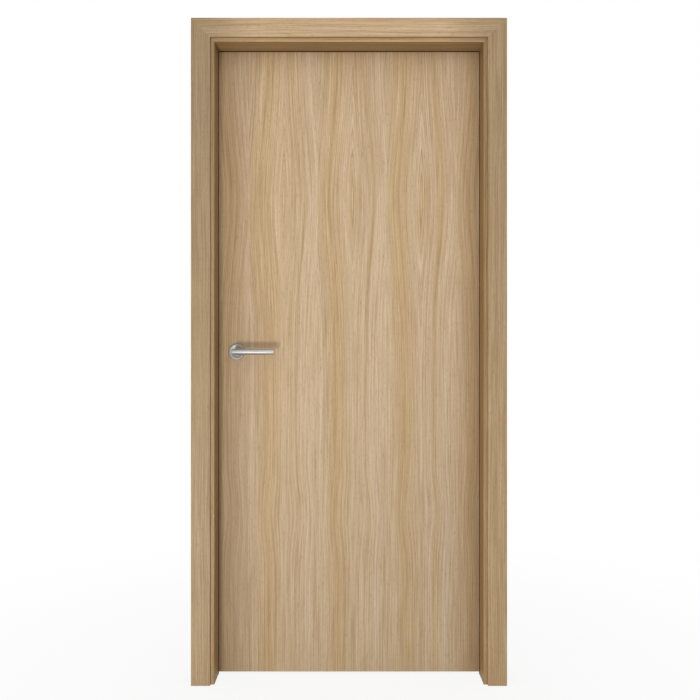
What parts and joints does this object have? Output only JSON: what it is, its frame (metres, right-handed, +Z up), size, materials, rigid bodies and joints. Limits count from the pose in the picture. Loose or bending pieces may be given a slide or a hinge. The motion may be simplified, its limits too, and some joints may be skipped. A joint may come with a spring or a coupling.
{
  "type": "flush timber door with frame",
  "caption": "Flush oak-veneered door leaf hung in a rebated oak frame with flat mitred casings, a sprung lever handle on round roses, and butt hinges on the pull side.",
  "frame": {"origin": "lower front corner of the hinge jamb's outer face: floor level, on the wall's front plane", "axes": "+X along the wall away from the passage, +Y from the push side to the pull side, +Z up"},
  "size_m": [1.018, 0.1945, 2.112],
  "materials": {
    "oak_leaf": "matt lacquered veneer",
    "oak_frame": "matt lacquered veneer",
    "oak_edge": "matt lacquered solid edge",
    "core_board": "raw board edge",
    "seal": "matt",
    "steel": "satin"
  },
  "bodies": {
    "frame": {"left_front_casing": "oak_frame", "right_front_casing": "oak_frame", "head_front_casing": "oak_frame", "left_back_casing": "oak_frame", "right_back_casing": "oak_frame", "head_back_casing": "oak_frame", "left_jamb": "oak_frame", "right_jamb": "oak_frame", "head_jamb": "oak_frame", "left_seal": "seal", "right_seal": "seal", "head_seal": "seal", "strike_plate": "steel", "bottom_hinge_frame_plate": "steel", "middle_hinge_frame_plate": "steel", "top_hinge_frame_plate": "steel", "bottom_hinge_pin": "steel", "middle_hinge_pin": "steel", "top_hinge_pin": "steel"},
    "leaf": {"leaf_core": "core_board", "front_face": "oak_leaf", "back_face": "oak_leaf", "lock_edge_lipping": "oak_edge", "hinge_edge_lipping": "oak_edge", "lock_case": "steel", "lock_faceplate": "steel", "latch_bolt": "steel", "front_rose": "steel", "back_rose": "steel", "bottom_hinge_leaf_plate": "steel", "middle_hinge_leaf_plate": "steel", "top_hinge_leaf_plate": "steel"},
    "handle": {"front_lever": "steel", "back_lever": "steel", "spindle": "steel"}
  },
  "joints": [
    {"name": "door_swing", "type": "hinge", "parent": "frame", "child": "leaf", "pos_m": [-0.0205, 0.134, 1.0205], "axis": [0, 0, -1], "range_deg": [0, 170]},
    {"name": "handle_turn", "type": "hinge", "parent": "leaf", "child": "handle", "pos_m": [-0.8205, 0.105, 1.05], "axis": [0, 1, 0], "range_deg": [0, 40], "stiffness_Nm_per_rad": 1.5, "springref_deg": -57.3}
  ]
}
